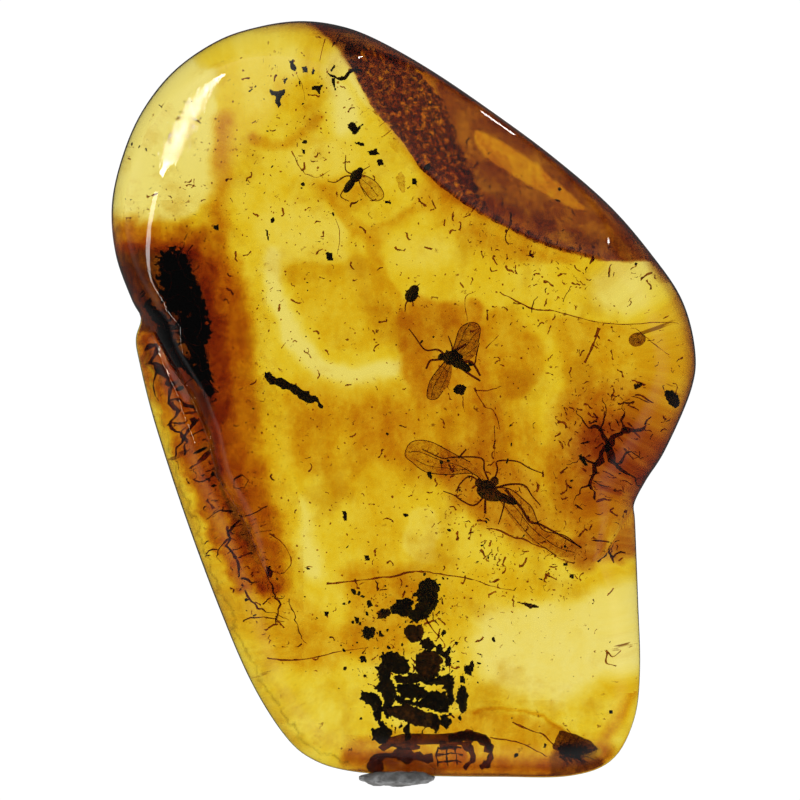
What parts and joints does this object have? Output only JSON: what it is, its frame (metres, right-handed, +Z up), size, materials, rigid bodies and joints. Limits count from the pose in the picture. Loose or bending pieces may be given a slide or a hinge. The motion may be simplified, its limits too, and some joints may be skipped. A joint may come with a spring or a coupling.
{
  "type": "insect in amber",
  "caption": "Polished pebble of clear golden amber, a rounded lobe folded over a lower tab, with insects, bark and crumbs sealed inside.",
  "frame": {"origin": "under the middle of the stone's box, on the surface that it lies on", "axes": "+Z up out of the face that is looked at, +Y along the stone from the tab to the lobe, +X to the right"},
  "size_m": [0.034, 0.0446, 0.0114],
  "materials": {
    "amber": "polished, clear golden yellow, darker orange in the fold",
    "chitin": "dark brown insect shell with clear wings",
    "bark": "rough, nearly black",
    "crust": "rough olive brown with golden flakes",
    "tuft": "matted brown plant hair",
    "matrix": "dull grey"
  },
  "bodies": {
    "root": {"amber_front": "amber", "amber_back": "amber", "fly": "chitin", "long_winged_gnat": "chitin", "midge": "chitin", "small_beetle": "chitin", "insect_husk": "chitin", "fly_debris": "bark", "dark_chip": "bark", "bark_wedge": "bark", "bark_thread": "bark", "curved_twig": "bark", "plant_tuft": "tuft", "crust_plate": "crust", "matrix_chip": "matrix", "bark_crumb_01": "bark", "bark_crumb_02": "bark", "bark_crumb_03": "bark", "bark_crumb_04": "bark", "bark_crumb_05": "bark", "bark_crumb_06": "bark", "bark_crumb_07": "bark", "bark_crumb_08": "bark", "bark_crumb_09": "bark", "bark_crumb_10": "bark", "bark_crumb_11": "bark", "bark_crumb_12": "bark", "bark_crumb_13": "bark", "bark_crumb_14": "bark", "bark_crumb_15": "bark", "bark_crumb_16": "bark", "bark_crumb_17": "bark", "bark_crumb_18": "bark", "bark_crumb_19": "bark", "bark_crumb_20": "bark", "bark_crumb_21": "bark", "bark_crumb_22": "bark"}
  },
  "joints": []
}
